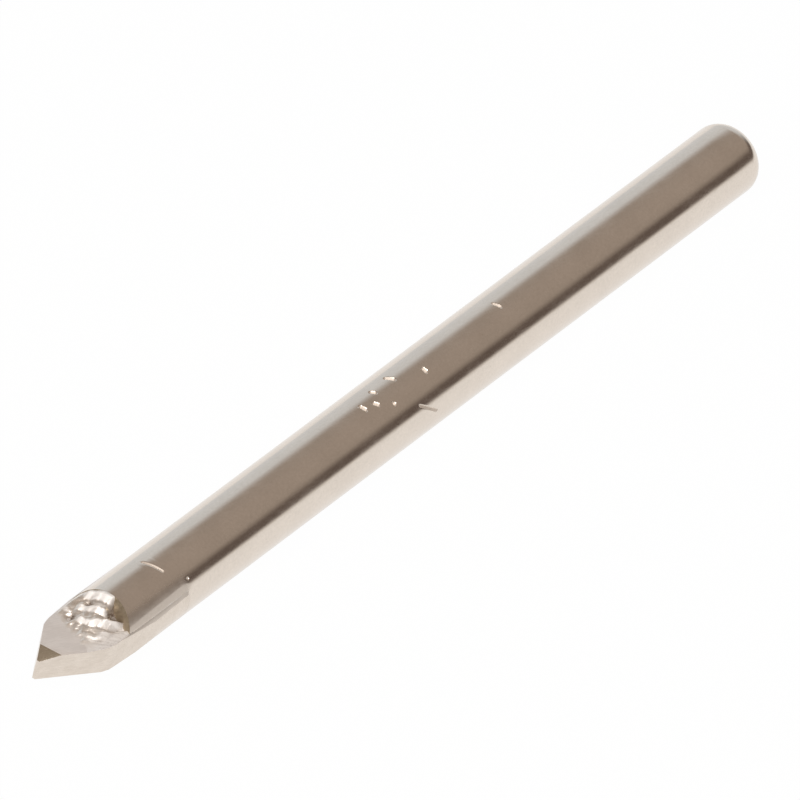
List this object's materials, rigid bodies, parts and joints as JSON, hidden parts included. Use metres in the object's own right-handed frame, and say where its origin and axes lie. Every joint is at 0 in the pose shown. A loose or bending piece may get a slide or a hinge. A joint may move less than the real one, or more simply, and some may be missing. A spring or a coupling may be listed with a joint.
{
  "type": "glass and tile drill bit",
  "caption": "Straight round-shank drill bit with a spear-pointed carbide plate brazed into its slotted front end, for drilling glass and ceramic tile.",
  "frame": {"origin": "centre of the shank's flat back end, on the bit's axis", "axes": "+X along the axis towards the point, +Y across the width of the carbide plate, +Z square to the plate; the bit lies on its side"},
  "size_m": [0.07, 0.0048, 0.0048],
  "materials": {
    "nickel_plated_steel": "smooth nickel plating, lightly worn",
    "ground_carbide": "finely ground tungsten carbide",
    "silver_braze": "rough frozen braze alloy"
  },
  "bodies": {
    "root": {"shank": "nickel_plated_steel", "carbide_tip": "ground_carbide", "braze": "silver_braze"}
  },
  "joints": []
}
